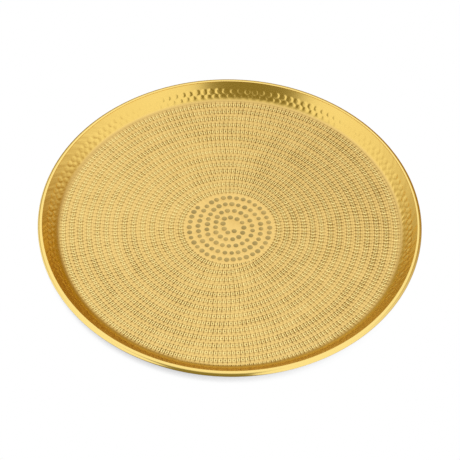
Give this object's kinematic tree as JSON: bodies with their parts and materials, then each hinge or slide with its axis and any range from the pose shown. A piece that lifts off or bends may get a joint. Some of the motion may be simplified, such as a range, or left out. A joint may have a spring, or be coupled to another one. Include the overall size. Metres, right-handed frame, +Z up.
{
  "type": "round serving tray",
  "caption": "Round serving tray: a hammered brass dish with a flared wall, its edge rolled over a wire hoop, standing on small rubber feet.",
  "frame": {"origin": "on the tray's axis, at the surface that the feet stand on", "axes": "+Z up along the tray's axis, towards the open side of the dish"},
  "size_m": [0.3998, 0.3998, 0.0181],
  "materials": {
    "hammered_brass": "satin, hammered and chased",
    "wire_steel": "drawn wire",
    "foot_rubber": "matte"
  },
  "bodies": {
    "root": {"tray_dish": "hammered_brass", "rim_wire": "wire_steel", "rubber_foot_1": "foot_rubber", "rubber_foot_2": "foot_rubber", "rubber_foot_3": "foot_rubber", "rubber_foot_4": "foot_rubber"}
  },
  "joints": []
}
